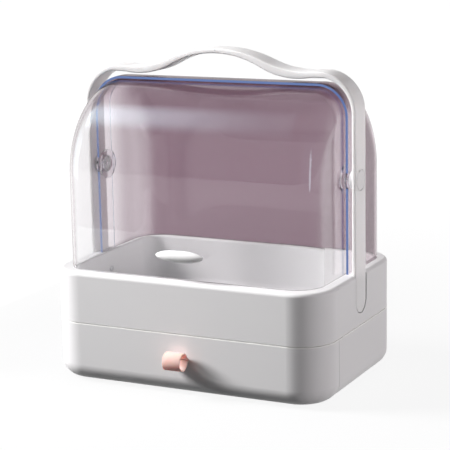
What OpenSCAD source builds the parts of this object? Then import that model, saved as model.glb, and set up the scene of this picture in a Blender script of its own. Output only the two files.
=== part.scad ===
// Covered make-up organiser: a round-cornered tray over one wide drawer, with
// two clear nesting covers that turn about a pivot on an arched carrying handle.
// Millimetres, +Z up, -Y is the front, origin on the table under the middle.

/* [Case] */
// Width of the case
case_w = 290; // [270:1:340]
// Depth of the case
case_d = 196; // [180:1:236]
// Corner radius of the case seen from above
case_r = 35; // [30:1:42]
// Radius of the bottom edge
bottom_r = 16; // [12:1:18]
// Height of the line where the tray meets the drawer
parting_z = 60; // [54:1:72]
// Height of the tray's rim
rim_z = 110; // [100:1:130]
// Radius of the rim's outer edge
rim_r = 4; // [2:0.5:5]
// Radius of the rim's inner edge
rim_inner_r = 1.5; // [0.5:0.1:2]
// Wall thickness of the white mouldings
wall = 2.4; // [2:0.1:2.8]
// Width of the rim from the case side to the inside of the tray
rim_w = 16; // [15:0.5:18]
// Radius between the tray's floor and its inner wall
tray_floor_r = 6; // [3:0.5:10]
// Visible gap between mouldings that meet
seam = 0.4; // [0.3:0.1:0.8]
// Radius of the edges along the seam between tray and drawer
seam_r = 0.5; // [0.2:0.1:0.8]

/* [Feet] */
// Height of the feet below the case
foot_h = 1.2; // [0.8:0.1:2]
// Radius of each foot
foot_r = 7; // [5:0.5:9]

/* [Drawer] */
// Distance from the case front to the side seam of the drawer front
return_len = 42.5; // [38:0.5:50]
// Thickness of the drawer front
front_t = 2.9; // [2.5:0.1:3.2]
// Wall thickness of the drawer box
box_t = 2; // [1.6:0.1:2.4]
// Travel of the drawer
drawer_travel = 120; // [80:1:130]
// Space behind the drawer box for the case screws
box_back_gap = 20; // [17:1:30]
// Radius of the drawer box's bottom edge
box_bottom_r = 10; // [9:0.5:12]

/* [Ribbon] */
// Width of the strap
strap_w = 18.5; // [12:0.5:24]
// Thickness of the strap
strap_t = 1.2; // [0.8:0.1:1.4]
// Outer radius of the loop
loop_r = 8.8; // [7:0.1:11]
// How far the loop stands out of the drawer front
loop_out = 19; // [18:0.5:26]
// Height of the slit above the table
slit_z = 36; // [30:0.5:42]

/* [Covers] */
// Height of the pivot above the table
hub_z = 200; // [196:1:210]
// Distance from the case's front and back to the rear cover
cover_setback = 7; // [6.5:0.5:12]
// Corner radius of the rear cover
cover_corner = 31; // [26:0.5:34]
// Distance from the case side to the rear cover
cover_inset = 9; // [9:0.5:12]
// Wall thickness of the covers
cover_t = 2.2; // [1.8:0.1:2.6]
// Gap between the two covers
cover_gap = 1; // [0.6:0.1:1.4]
// How far the rear cover reaches past the pivot to the front
rear_reach = 10; // [9:0.5:14]
// How far the front cover reaches past the pivot to the back
front_reach = 12; // [11:0.5:16]
// Depth that the rear cover's foot is let into the rim
foot_groove = 3; // [2:0.5:5]

/* [Knob] */
// Length of the knob
knob_len = 50; // [36:1:60]
// Greatest thickness of the knob
knob_t = 11.5; // [9:0.5:14]
// Height of the knob above the rim
knob_up = 24; // [16:1:40]

/* [Handle] */
// Width of the handle's band, front to back
band_w = 26; // [22:1:30]
// Thickness of the handle's posts
post_t = 4.2; // [4:0.1:5]
// Clearance between the covers and the handle
handle_gap = 3.4; // [3:0.1:5]
// Thickness of the handle at its two dips
dip_t = 7; // [6:0.1:8]
// Rise of the grip's underside above the dips
grip_rise = 21.6; // [18:0.1:26]
// Thickness of the grip
grip_t = 5; // [4.5:0.1:7]
// Radius of the grip's top
crown_r = 130; // [100:1:150]
// Radius of the grip's underside
under_crown_r = 100; // [80:1:120]
// Radius of the handle's outer shoulders
shoulder_r = 38; // [34:1:42]
// Distance from the case side to the lowest place of the dips
dip_in = 52; // [46:1:58]
// The same for the underside of the dips
under_dip_in = 60; // [54:1:66]
// Height of the posts' lower tips above the seam
tip_up = 12; // [9:0.5:16]

/* [Pivot] */
// Radius of the pivot pin's shaft
pin_r = 8.2; // [7:0.1:8.4]
// Radius of the pin's flange inside the covers
flange_r = 14.5; // [12:0.5:16]
// Radial clearance of the covers on the pin
pin_clear = 0.06; // [0.04:0.01:0.1]
// Radius of the round plug in the post
plug_r = 9.8; // [8:0.1:10]

/* [Hidden] */
$fn = 96;

white = [0.95, 0.945, 0.955];
clear = [0.80, 0.87, 0.95, 0.35];
steel = [0.62, 0.63, 0.65];
pink = [0.93, 0.77, 0.73];
grey = [0.72, 0.72, 0.73];

more = 1;                                    // overshoot of cutting shapes
hair = 0.01;                                 // overlap where curved shapes flow together
lead = loop_out / 2;                         // puts the middle of the whole, strap and all, over the origin
half_w = case_w / 2;
half_d = case_d / 2;
floor_top = foot_h + wall;
shell_top = parting_z - seam;
seam_y = return_len - half_d;
lip_root = 6;
lip_h = 3.4;
lip_play = 0.25;
lip_step = 0.5;                              // how far the lip's root bites into the wall
tongue_in = bottom_r + 1;                    // case side to the floor tongue

// Drawer
box_side = 7;                                // case side to drawer box
box_front = 10;                              // case front to drawer box
box_r = 20;
box_lift = 0.8;                              // floor to drawer box
box_z = floor_top + box_lift;
box_top = parting_z - 3;
flange_t = 2;
box_half = half_w - box_side;
box_y0 = -half_d + box_front;
box_y1 = half_d - box_back_gap;
runner_x = half_w - 50;
runner_w = 4;
runner_y0 = -half_d + bottom_r + 4;
runner_len = case_d - bottom_r - 14;
runner_play = 0.2;
guide_play = 0.4;                            // drawer box to the guides beside it
guide_h = 16;
guide_t = 2;
guide_y0 = seam_y + 6;
skin_gap = 0.3;                              // drawer front to the box flange
slit_play = 0.3;
tab_w = 16;
tab_x = 60;
tab_y = box_y1 - 4;
tab_top = box_top + 2;
stop_play = 0.3;                             // tabs to the stops, at the end of the travel
drawer_screw_x = half_w - 45;
drawer_screw_z = [22, 46];

// Small screws with pan heads
screw_r = 1.5;
screw_head_r = 3;
screw_head_t = 1.8;
screw_bore = screw_r + 0.03;
screw_hole = screw_r + 0.2;
boss_r = 3.6;
slot_w = 0.8;
slot_depth = 0.9;
slot_half = 0.65 * screw_head_r;

// Covers
cover_half = half_w - cover_inset;
cover_r = half_d - cover_setback;
cover_top = hub_z + cover_r;
front_step = cover_t + cover_gap;            // rear cover's face to front cover's face
front_foot = rim_z + 0.3;
rear_foot = rim_z - foot_groove + 0.3;
groove_play = 0.4;
groove_bed = 1.6;                            // thickness under and beside the groove
rib_t = 1.6;
rib_lift = 12;                               // from the seam to the ribs inside the tray's skirt
rib_x = [-80, -27, 27, 80];
rib_y = [-45, 45];
sweep_r = hub_z - front_foot - 0.2;          // keeps the hind corner of the front cover off the rim
ear_r = pin_r + 4.3;
front_face = cover_r - front_step;
front_inner_x = cover_half - front_step - cover_t;

// Knob
knob_z = rim_z + knob_up;
knob_nose = 3.4;                             // radius of the knob's round ends
knob_stand = 0.4;                            // cover to the knob's round part
peg_r = 1.6;
peg_play = 0.1;

// Pivot
flange_t_pin = 2.5;
flange_play = 0.3;
flange_x = front_inner_x - flange_play - flange_t_pin;
pin_end = cover_half + 0.35;
boss_x = cover_half + 0.4;                   // inner end of the post's round boss
hub_boss_r = pin_r + 0.8;
post_in = half_w - post_t;
plug_t = 1.4;
plug_play = 0.2;
plug_edge = 0.4;
pocket_r = screw_head_r + 0.3;
pocket_t = screw_head_t + 0.1;

// Handle
recess_play = 1;
recess_depth = post_t + 0.2;
recess_back = 2;
tip_r = band_w / 2;
tip_z = parting_z + tip_up + tip_r;
handle_screw_z = [tip_z - 4, tip_z + 6];
under_dip_z = cover_top + handle_gap;
dip_z = under_dip_z + dip_t;
under_grip_z = under_dip_z + grip_rise;
grip_z = under_grip_z + grip_t;

// Case screws
case_screw_x = half_w - 45;
case_screw_y = half_d - 11;
case_boss_r = 4.8;
case_seat_z = 52;

// Feet
foot_x = half_w - 35;
foot_y = half_d - 32;
foot_seat = 0.6;

// Rounded rectangle from squares and circles
module plan(w, d, r) {
    square([w - 2 * r, d], center = true);
    square([w, d - 2 * r], center = true);
    for (x = [-1, 1], y = [-1, 1])
        translate([x * (w / 2 - r), y * (d / 2 - r)])
            circle(r);
}

// Section of a wall, from x0 out to x1, rounded below by rb and above by rt
module section(x0, x1, z0, z1, rb, rt) {
    translate([x0, z0 + rb])
        square([x1 - x0, z1 - z0 - rb - rt]);
    if (rb > 0) {
        translate([x0, z0])
            square([x1 - rb - x0, rb]);
        intersection() {
            translate([x1 - rb, z0 + rb])
                circle(rb);
            translate([x1 - rb, z0])
                square(rb);
        }
    }
    if (rt > 0) {
        translate([x0, z1 - rt])
            square([x1 - rt - x0, rt]);
        intersection() {
            translate([x1 - rt, z1 - rt])
                circle(rt);
            translate([x1 - rt, z1 - rt])
                square(rt);
        }
    }
}

// Block with a rounded plan and rounded lower and upper edges
module rounded_block(w, d, r, z0, z1, rb = 0, rt = 0) {
    for (turn = [0, 180]) rotate([0, 0, turn]) {
        rotate([90, 0, 90])
            linear_extrude(w - 2 * r, center = true)
                section(0, d / 2, z0, z1, rb, rt);
        rotate([90, 0, 0])
            linear_extrude(d - 2 * r, center = true)
                section(0, w / 2, z0, z1, rb, rt);
        translate([w / 2 - r, d / 2 - r])
            rotate_extrude(angle = 90)
                section(0, r, z0, z1, rb, rt);
        translate([w / 2 - r, r - d / 2])
            rotate([0, 0, -90])
                rotate_extrude(angle = 90)
                    section(0, r, z0, z1, rb, rt);
    }
}

// What a rounding of radius rt takes off the top edge of a rounded opening
module edge_flare(w, d, r, z1, rt) {
    module corner(x) {
        difference() {
            translate([x - 0.1, z1 - rt])
                square([rt + 0.1, rt + more]);
            translate([x + rt, z1 - rt])
                circle(rt);
        }
    }
    for (turn = [0, 180]) rotate([0, 0, turn]) {
        rotate([90, 0, 90])
            linear_extrude(w - 2 * r, center = true)
                corner(d / 2);
        rotate([90, 0, 0])
            linear_extrude(d - 2 * r, center = true)
                corner(w / 2);
        for (side = [0, 1]) mirror([0, side, 0])
            translate([w / 2 - r, d / 2 - r])
                rotate_extrude(angle = 90)
                    corner(r);
    }
}

// The outer form of the case, moved inwards by inset, with its top edge rounded by rt
module case_form(inset, z1, rt = 0) {
    rounded_block(case_w - 2 * inset, case_d - 2 * inset, case_r - inset,
        foot_h + inset, z1, bottom_r - inset, rt);
}

// The outer form of the covers, moved inwards by inset, down to z0
module cover_form(inset, z0) {
    w = 2 * (cover_half - inset);
    d = 2 * (cover_r - inset);
    r = cover_corner - inset;
    translate([0, 0, hub_z])
        rotate([0, 90, 0])
            rotate([0, 0, 90])
                rotate_extrude(angle = 180)
                    intersection() {
                        plan(d, w, r);
                        translate([0, -w])
                            square([d, 2 * w]);
                    }
    translate([0, 0, z0])
        linear_extrude(hub_z - z0)
            plan(w, d, r);
}

module cover_shell(inset, z0) {
    difference() {
        cover_form(inset, z0);
        cover_form(inset + cover_t, z0 - more);
    }
}

// Everything in front of y, or behind it
module front_of(y) {
    translate([-case_w, y - 2 * case_d, -more])
        cube([2 * case_w, 2 * case_d, 2 * grip_z]);
}

module behind(y) {
    translate([-case_w, y, -more])
        cube([2 * case_w, 2 * case_d, 2 * grip_z]);
}

// A round bar along X from x0 to x1
module bar_x(r, x0, x1) {
    translate([x0, 0, 0])
        rotate([0, 90, 0])
            cylinder(r = r, h = x1 - x0);
}

// A round bar along Y from y0 to y1
module bar_y(r, y0, y1) {
    translate([0, y0, 0])
        rotate([-90, 0, 0])
            cylinder(r = r, h = y1 - y0);
}

// A screw along +Z: head below z = 0, shank above, with a cross slot
module screw(len) {
    difference() {
        union() {
            translate([0, 0, -screw_head_t])
                cylinder(r = screw_head_r, h = screw_head_t);
            cylinder(r = screw_r, h = len);
        }
        for (turn = [0, 90]) rotate([0, 0, turn])
            translate([-slot_half, -slot_w / 2, -screw_head_t - more])
                cube([2 * slot_half, slot_w, more + slot_depth]);
    }
}

module placed() {
    translate([0, lead, 0])
        children();
}

module both_sides() {
    for (side = [0, 1]) mirror([side, 0, 0])
        children();
}

module lip_ring(outer_inset, z, h) {
    translate([0, 0, z])
        linear_extrude(h)
            difference() {
                plan(case_w - 2 * outer_inset, case_d - 2 * outer_inset, case_r - outer_inset);
                plan(case_w - 4 * wall, case_d - 4 * wall, case_r - 2 * wall);
            }
}

module base_shell() color(white) placed() {
    difference() {
        union() {
            difference() {
                case_form(0, shell_top, seam_r);
                case_form(wall, shell_top + more);
                front_of(seam_y + seam);
            }
            // floor tongue under the front of the drawer
            translate([0, 0, foot_h])
                linear_extrude(wall)
                    plan(case_w - 2 * tongue_in, case_d - 2 * tongue_in, case_r - tongue_in);
            // locating lip that plugs into the tray's skirt
            difference() {
                union() {
                    lip_ring(wall - lip_step, shell_top - lip_root, lip_root - lip_step);
                    lip_ring(wall + lip_play, shell_top - 1, lip_h + 1);
                }
                front_of(seam_y + 8);
            }
            // runners that carry the drawer
            both_sides()
                translate([runner_x - runner_w / 2, runner_y0, foot_h])
                    cube([runner_w, runner_len, wall + box_lift - runner_play]);
            intersection() {
                both_sides() {
                    translate([case_screw_x, case_screw_y, foot_h])
                        cylinder(r = case_boss_r, h = parting_z - foot_h - 0.1);
                    // guides beside the drawer
                    translate([box_half + guide_play, guide_y0, foot_h])
                        cube([guide_t, half_d - case_r - guide_y0, guide_h]);
                }
                case_form(wall / 2, parting_z);
            }
        }
        both_sides() {
            translate([case_screw_x, case_screw_y, foot_h - more])
                cylinder(r = pocket_r, h = case_seat_z - foot_h + more);
            translate([case_screw_x, case_screw_y, foot_h])
                cylinder(r = screw_hole, h = parting_z);
        }
        for (x = [-1, 1], y = [-1, 1])
            translate([x * foot_x, y * foot_y, foot_h - more])
                cylinder(r = foot_r + 0.2, h = foot_seat + more);
    }
}

// Hollow between the tray's outer skirt and its inner tub
module tray_hollow() {
    difference() {
        rounded_block(case_w - 2 * wall, case_d - 2 * wall, case_r - wall,
            parting_z - more, rim_z - wall, 0, max(rim_r - wall, 1));
        rounded_block(case_w - 2 * (rim_w - wall), case_d - 2 * (rim_w - wall),
            case_r - rim_w + wall, parting_z - 2 * more, rim_z, 0, 0);
        both_sides() {
            // solid backing of the recess for the post
            translate([post_in - recess_back - 0.2, 0, 0])
                rotate([90, 0, 90])
                    linear_extrude(post_t + recess_back)
                        post_side(recess_play + recess_back, rim_z);
            translate([case_screw_x, case_screw_y, parting_z + 0.2])
                cylinder(r = case_boss_r, h = rim_z);
        }
        // bed of the groove, and ribs between skirt and tub
        intersection() {
            translate([0, 0, rim_z - foot_groove - groove_bed])
                linear_extrude(rim_z)
                    plan(2 * (cover_half + groove_play + groove_bed),
                        2 * (cover_r + groove_play + groove_bed),
                        cover_corner + groove_play + groove_bed);
            behind(-rear_reach - groove_play - groove_bed);
        }
        for (x = rib_x)
            translate([x - rib_t / 2, -half_d, parting_z + rib_lift])
                cube([rib_t, case_d, rim_z]);
        for (y = rib_y)
            translate([-half_w, y - rib_t / 2, parting_z + rib_lift])
                cube([case_w, rib_t, rim_z]);
    }
}

// Outline of a post seen from the side, grown by play
module post_side(play, z1) {
    r = tip_r + play;
    translate([-r, tip_z])
        square([2 * r, z1 - tip_z]);
    translate([0, tip_z])
        circle(r);
}

module top_tray() color(white) placed() {
    tray_floor = parting_z + 0.6;
    difference() {
        rounded_block(case_w, case_d, case_r, parting_z, rim_z, seam_r, rim_r);
        rounded_block(case_w - 2 * rim_w, case_d - 2 * rim_w, case_r - rim_w,
            tray_floor + wall, rim_z + 2 * tray_floor_r, tray_floor_r);
        edge_flare(case_w - 2 * rim_w, case_d - 2 * rim_w, case_r - rim_w, rim_z, rim_inner_r);
        tray_hollow();
        // underside of the floor
        translate([0, 0, parting_z - more])
            linear_extrude(tray_floor - parting_z + more)
                plan(case_w - 2 * (rim_w - wall) - 0.1, case_d - 2 * (rim_w - wall) - 0.1,
                    case_r - rim_w + wall);
        // recesses that take the handle's posts
        both_sides()
            translate([half_w - recess_depth, 0, 0])
                rotate([90, 0, 90])
                    linear_extrude(recess_depth + more)
                        post_side(recess_play, rim_z + more);
        // groove for the rear cover's foot
        intersection() {
            translate([0, 0, rim_z - foot_groove])
                linear_extrude(foot_groove + more)
                    difference() {
                        plan(2 * (cover_half + groove_play), 2 * (cover_r + groove_play),
                            cover_corner + groove_play);
                        plan(2 * (cover_half - cover_t - groove_play),
                            2 * (cover_r - cover_t - groove_play),
                            cover_corner - cover_t - groove_play);
                    }
            behind(-rear_reach - groove_play);
        }
        both_sides() {
            for (z = handle_screw_z) translate([0, 0, z]) {
                bar_x(boss_r + 0.2, half_w - rim_w + wall, half_w);
                bar_x(screw_hole, half_w - rim_w - more, half_w);
            }
            translate([case_screw_x, case_screw_y, parting_z])
                cylinder(r = screw_bore, h = 10);
        }
    }
    // stops that the drawer's tabs meet
    both_sides()
        translate([tab_x - tab_w / 2, tab_y - drawer_travel - wall - stop_play, box_top + 0.5])
            cube([tab_w, wall, tray_floor - box_top]);
}

// Region under one arch of the handle, from the middle to the post
module half_arch(top_z, wanted_r, dip_x, low_z, bend_r, post_x) {
    rise = top_z - low_z;
    span = (dip_x * dip_x + rise * rise) / (2 * rise);
    crown_r = min(wanted_r, 0.75 * span);    // leaves room for the dip's arc
    dip_r = span - crown_r;
    crown_z = top_z - crown_r;
    dip_c = low_z + dip_r;
    meet_x = dip_x * crown_r / span;
    meet_z = crown_z + (dip_c - crown_z) * crown_r / span;
    bend_x = post_x - bend_r;
    bend_z = dip_c - sqrt(pow(dip_r + bend_r, 2) - pow(bend_x - dip_x, 2));
    turn_x = dip_x + (bend_x - dip_x) * dip_r / (dip_r + bend_r);
    intersection() {
        translate([0, crown_z])
            circle(crown_r, $fn = 360);
        translate([0, bend_z])
            square([post_x, top_z]);
    }
    // the dip is cut a hair deeper, so that the arcs cross cleanly where they meet
    difference() {
        translate([meet_x, bend_z])
            square([turn_x - meet_x, meet_z - bend_z + 2]);
        translate([dip_x, dip_c])
            circle(dip_r + hair, $fn = 360);
    }
    intersection() {
        translate([bend_x, bend_z])
            circle(bend_r);
        translate([bend_x - bend_r, bend_z])
            square([2 * bend_r, top_z]);
    }
    square([post_x, bend_z]);
}

module handle() color(white) placed() {
    difference() {
        union() {
            intersection() {
                both_sides()
                    rotate([90, 0, 0])
                        linear_extrude(band_w, center = true)
                            difference() {
                                half_arch(grip_z, crown_r, half_w - dip_in, dip_z, shoulder_r, half_w);
                                half_arch(under_grip_z, under_crown_r, half_w - under_dip_in,
                                    under_dip_z, shoulder_r - post_t, post_in);
                            }
                rotate([90, 0, 90])
                    linear_extrude(2 * case_w, center = true)
                        post_side(0, grip_z + more);
            }
            both_sides() {
                translate([0, 0, hub_z])
                    bar_x(hub_boss_r, boss_x, post_in + more);
                for (z = handle_screw_z) translate([0, 0, z])
                    bar_x(boss_r, half_w - rim_w + wall + 0.1, post_in + more);
            }
        }
        both_sides() {
            translate([0, 0, hub_z]) {
                bar_x(plug_r + plug_play, half_w - plug_t, half_w + more);
                bar_x(pocket_r, half_w - plug_t - pocket_t, half_w);
                bar_x(screw_hole, boss_x - more, half_w);
            }
            for (z = handle_screw_z) translate([0, 0, z])
                bar_x(screw_bore, half_w - rim_w, half_w - 2);
        }
    }
}

module rear_cover() color(clear) placed() {
    difference() {
        union() {
            intersection() {
                cover_shell(0, rear_foot);
                behind(-rear_reach);
            }
            // round ears that carry the pivot holes
            both_sides() translate([0, 0, hub_z])
                bar_x(ear_r, cover_half - cover_t, cover_half);
        }
        translate([0, 0, hub_z])
            bar_x(pin_r + pin_clear, -case_w, case_w);
    }
}

module front_cover() color(clear) placed() {
    difference() {
        intersection() {
            cover_shell(front_step, front_foot);
            front_of(front_reach);
        }
        translate([0, 0, hub_z])
            bar_x(pin_r + pin_clear, -case_w, case_w);
        // relieved hind corner, so that it clears the rim as the cover turns
        difference() {
            translate([-case_w, 0, 0])
                cube([2 * case_w, case_d, hub_z - cover_corner]);
            translate([0, 0, hub_z])
                bar_x(sweep_r, -2 * case_w, 2 * case_w);
        }
        knob_pegs(peg_play);
    }
}

module knob_pegs(play) {
    both_sides()
        translate([knob_len / 4, 0, knob_z])
            bar_y(peg_r + play, -front_face - knob_t / 2 - play, cover_t - front_face + play);
}

module cover_knob() color(white) placed() {
    half_t = knob_t / 2;
    run = knob_len / 2 - knob_nose;
    belly = (run * run + half_t * half_t - knob_nose * knob_nose) / (2 * (half_t - knob_nose));
    translate([0, -front_face - half_t - knob_stand, knob_z])
        rotate([0, 90, 0])
            rotate_extrude()
                intersection() {
                    union() {
                        intersection() {
                            translate([half_t - belly, 0])
                                circle(belly, $fn = 360);
                            square([knob_t, 2 * run * (1 - knob_nose / belly)], center = true);
                        }
                        for (y = [-run, run]) translate([0, y])
                            circle(knob_nose);
                    }
                    translate([0, -knob_len])
                        square([knob_t, 2 * knob_len]);
                }
    // low foot that seats the knob on the cover
    translate([0, -front_face - 0.1, knob_z])
        rotate([90, 0, 0])
            linear_extrude(half_t)
                plan(knob_len * 0.62, knob_t * 0.5, knob_t * 0.24);
    knob_pegs(0);
}

module pivot_pin() {
    difference() {
        translate([0, 0, hub_z]) {
            bar_x(flange_r, flange_x, flange_x + flange_t_pin);
            bar_x(pin_r, flange_x, pin_end);
        }
        translate([0, 0, hub_z])
            bar_x(screw_bore, flange_x + flange_t_pin, pin_end + more);
        // shallow dish in the flange's face
        translate([0, 0, hub_z])
            bar_x(pin_r - 1.2, flange_x - more, flange_x + 1);
    }
}

module pivot_pin_right() color(clear) placed() pivot_pin();
module pivot_pin_left() color(clear) placed() mirror([1, 0, 0]) pivot_pin();

module pivot_plug() {
    translate([half_w, 0, hub_z])
        rotate([0, -90, 0]) {
            cylinder(r1 = plug_r - plug_edge, r2 = plug_r, h = plug_edge);
            translate([0, 0, plug_edge])
                cylinder(r = plug_r, h = plug_t - plug_edge - 0.05);
        }
}

module pivot_plug_right() color(white) placed() pivot_plug();
module pivot_plug_left() color(white) placed() mirror([1, 0, 0]) pivot_plug();

module pivot_screws() color(steel) placed() {
    both_sides()
        translate([half_w - plug_t - pocket_t, 0, hub_z])
            rotate([0, -90, 0])
                screw(half_w - plug_t - pocket_t - flange_x - flange_t_pin - 0.5);
}

// Space of the strap's slit through the drawer front and box, grown by play
module slit(play) {
    translate([-strap_w / 2 - play, -half_d - more, slit_z - strap_t - play])
        cube([strap_w + 2 * play, box_front + box_t + 2 * more, 2 * (strap_t + play)]);
}

module drawer_front() color(white) placed() {
    difference() {
        union() {
            difference() {
                case_form(0, shell_top, seam_r);
                case_form(front_t, shell_top + more);
                behind(seam_y);
                linear_extrude(shell_top)
                    plan(case_w - 2 * bottom_r, case_d - 2 * bottom_r, case_r - bottom_r);
            }
            both_sides() for (z = drawer_screw_z) translate([drawer_screw_x, 0, z])
                bar_y(boss_r, -half_d + front_t / 2, box_y0 - 0.1);
        }
        both_sides() for (z = drawer_screw_z) translate([drawer_screw_x, 0, z])
            bar_y(screw_bore, -half_d + front_t / 2, box_y0);
        slit(slit_play);
    }
}

module drawer_box() color(white) placed() {
    mid_y = (box_y0 + box_y1) / 2;
    box_d = box_y1 - box_y0;
    difference() {
        union() {
            translate([0, mid_y, 0])
                rounded_block(2 * box_half, box_d, box_r, box_z, box_top, box_bottom_r);
            // flange that closes the gap behind the drawer front
            intersection() {
                translate([0, 0, box_top - flange_t])
                    linear_extrude(flange_t)
                        plan(case_w - 2 * (front_t + skin_gap), case_d - 2 * (front_t + skin_gap),
                            case_r - front_t - skin_gap);
                front_of(seam_y - 4);
            }
            both_sides()
                translate([tab_x - tab_w / 2, tab_y, box_top - more])
                    cube([tab_w, box_y1 - tab_y, tab_top - box_top + more]);
        }
        translate([0, mid_y, 0])
            rounded_block(2 * (box_half - box_t), box_d - 2 * box_t, box_r - box_t,
                box_z + box_t, grip_z, box_bottom_r - box_t);
        both_sides() for (z = drawer_screw_z) translate([drawer_screw_x, 0, z])
            bar_y(screw_hole, box_y0 - more, box_y0 + box_t + more);
        slit(slit_play);
    }
}

module drawer_screws() color(steel) placed() {
    both_sides() for (z = drawer_screw_z)
        translate([drawer_screw_x, box_y0 + box_t, z])
            rotate([90, 0, 0])
                screw(box_t + box_front - front_t);
}

// The strap: a turned bend, and two runs that come together in the slit
module ribbon_pull() color(pink) placed() {
    reach = loop_out - loop_r;               // drawer front to the middle of the loop
    inner_r = loop_r - strap_t;
    tilt = acos(inner_r / (reach - 1));
    out = [cos(tilt), sin(tilt)];            // from the bend's axis to where a run begins
    back = 0.3 * [-sin(tilt), cos(tilt)];    // each run begins inside the bend's band
    inner = inner_r + hair;
    outer = loop_r - hair;
    run_end = reach + box_front + box_t;
    translate([0, -half_d - reach, slit_z])
        rotate([90, 0, 90]) {
            rotate([0, 0, tilt])
                rotate_extrude(angle = 360 - 2 * tilt)
                    translate([inner_r, -strap_w / 2])
                        square([strap_t, strap_w]);
            for (side = [0, 1]) mirror([0, side, 0])
                linear_extrude(strap_w - 2 * hair, center = true)
                    polygon([
                        inner * out + back, [inner / out.x, 0], [run_end, 0], [run_end, strap_t],
                        [(outer - strap_t * out.y) / out.x, strap_t], outer * out + back
                    ]);
        }
}

module ribbon_anchor() color(white) placed() {
    translate([-strap_w / 2 - 4, box_y0 + box_t + 0.05, slit_z - 5])
        cube([strap_w + 8, 2.5, 10]);
}

module handle_screws() color(steel) placed() {
    both_sides() for (z = handle_screw_z)
        translate([half_w - rim_w, 0, z])
            rotate([0, 90, 0])
                screw(rim_w - post_t - 0.8);
}

module case_screws() color(steel) placed() {
    both_sides()
        translate([case_screw_x, case_screw_y, case_seat_z])
            screw(parting_z - case_seat_z + 8);
}

module foot(x, y) {
    translate([x * foot_x, y * foot_y, 0])
        cylinder(r = foot_r, h = foot_h + foot_seat);
}

module foot_front_left() color(grey) placed() foot(-1, -1);
module foot_front_right() color(grey) placed() foot(1, -1);
module foot_rear_left() color(grey) placed() foot(-1, 1);
module foot_rear_right() color(grey) placed() foot(1, 1);

base_shell();
top_tray();
handle();
rear_cover();
front_cover();
cover_knob();
pivot_pin_left();
pivot_pin_right();
pivot_plug_left();
pivot_plug_right();
pivot_screws();
drawer_front();
drawer_box();
drawer_screws();
ribbon_pull();
ribbon_anchor();
handle_screws();
case_screws();
foot_front_left();
foot_front_right();
foot_rear_left();
foot_rear_right();
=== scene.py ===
import bpy, bmesh, math
from mathutils import Matrix, Vector


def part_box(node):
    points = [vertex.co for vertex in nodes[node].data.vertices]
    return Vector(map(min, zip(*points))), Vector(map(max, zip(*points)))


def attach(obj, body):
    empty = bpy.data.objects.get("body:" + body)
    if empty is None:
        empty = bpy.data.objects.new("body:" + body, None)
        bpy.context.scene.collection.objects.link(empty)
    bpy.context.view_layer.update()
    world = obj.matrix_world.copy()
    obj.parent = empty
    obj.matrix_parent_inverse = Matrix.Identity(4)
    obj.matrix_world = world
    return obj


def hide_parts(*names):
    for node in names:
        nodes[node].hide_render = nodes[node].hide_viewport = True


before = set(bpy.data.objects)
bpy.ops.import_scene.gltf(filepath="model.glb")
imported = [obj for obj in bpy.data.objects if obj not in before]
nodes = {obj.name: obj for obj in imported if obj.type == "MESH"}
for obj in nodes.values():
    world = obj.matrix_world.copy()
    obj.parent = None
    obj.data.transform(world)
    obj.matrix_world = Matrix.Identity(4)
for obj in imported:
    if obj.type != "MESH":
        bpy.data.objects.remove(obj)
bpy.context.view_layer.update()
print("frame loaded:", len(nodes), "nodes")

mm = 0.001


def boxInMm(node):
    # lowest and highest corner of a CAD node, to a hundredth
    return [[round(value / mm, 2) for value in corner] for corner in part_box(node)]


pinLow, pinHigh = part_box("pivot_pin_right")
middle = (pinLow[1] + pinHigh[1]) / 2           # how far behind the origin the pivots stand
hubHeight = (pinLow[2] + pinHigh[2]) / 2
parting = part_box("drawer_front")[1][2]          # height of the seam between tray and drawer


# Camera
view = {
    "turn": 26.41,          # degrees to the right of the front
    "rise": 11.83,          # degrees above the table
    "roll": -1.13,
    "away": 1.588,          # metres from the target
    "target": (0.0017, 0.0095, 0.1461),
    "lens": 129.2,
    "sensor": 36,
    "near": 0.05,           # metres, what the camera sees begins and ends here
    "far": 60,
}


def towards(settings):
    # the direction in which something stands, by its turn to the right of the front and its rise
    turn, rise = math.radians(settings["turn"]), math.radians(settings["rise"])
    return Vector((math.sin(turn) * math.cos(rise), -math.cos(turn) * math.cos(rise), math.sin(rise)))


def makeCamera(settings):
    roll = math.radians(settings["roll"])
    back = towards(settings)
    right = (-back).cross(Vector((0, 0, 1))).normalized()
    up = right.cross(-back)
    tiltedRight = right * math.cos(roll) + up * math.sin(roll)
    tiltedUp = up * math.cos(roll) - right * math.sin(roll)
    place = Vector(settings["target"]) + back * settings["away"]
    data = bpy.data.cameras.new("camera")
    data.lens, data.sensor_width = settings["lens"], settings["sensor"]
    data.clip_start, data.clip_end = settings["near"], settings["far"]
    camera = bpy.data.objects.new("camera", data)
    bpy.context.collection.objects.link(camera)
    camera.matrix_world = Matrix.Translation(place) @ Matrix(
        (tiltedRight, tiltedUp, back)).transposed().to_4x4()
    bpy.context.scene.camera = camera
    bpy.context.scene.view_settings.view_transform = "Standard"


makeCamera(view)


# Small helpers for node trees
def setInputs(node, values):
    for key, value in values.items():
        node.inputs[key.replace("_", " ")].default_value = value


def addNode(tree, kind, links=None, **values):
    # links go to inputs by name or number; values set a property or an input's own value
    node = tree.nodes.new(kind)
    for key, value in values.items():
        if key in node.bl_rna.properties:
            setattr(node, key, value)
        else:
            setInputs(node, {key: value})
    for key, source in (links or {}).items():
        if isinstance(source, (int, float)):
            node.inputs[key].default_value = source
        else:
            tree.links.new(source, node.inputs[key])
    return node


def math2(tree, operation, first, second):
    return addNode(tree, "ShaderNodeMath", {0: first, 1: second}, operation=operation).outputs[0]


def distance(tree, value, other):
    return math2(tree, "ABSOLUTE", math2(tree, "SUBTRACT", value, other), 0)


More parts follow.
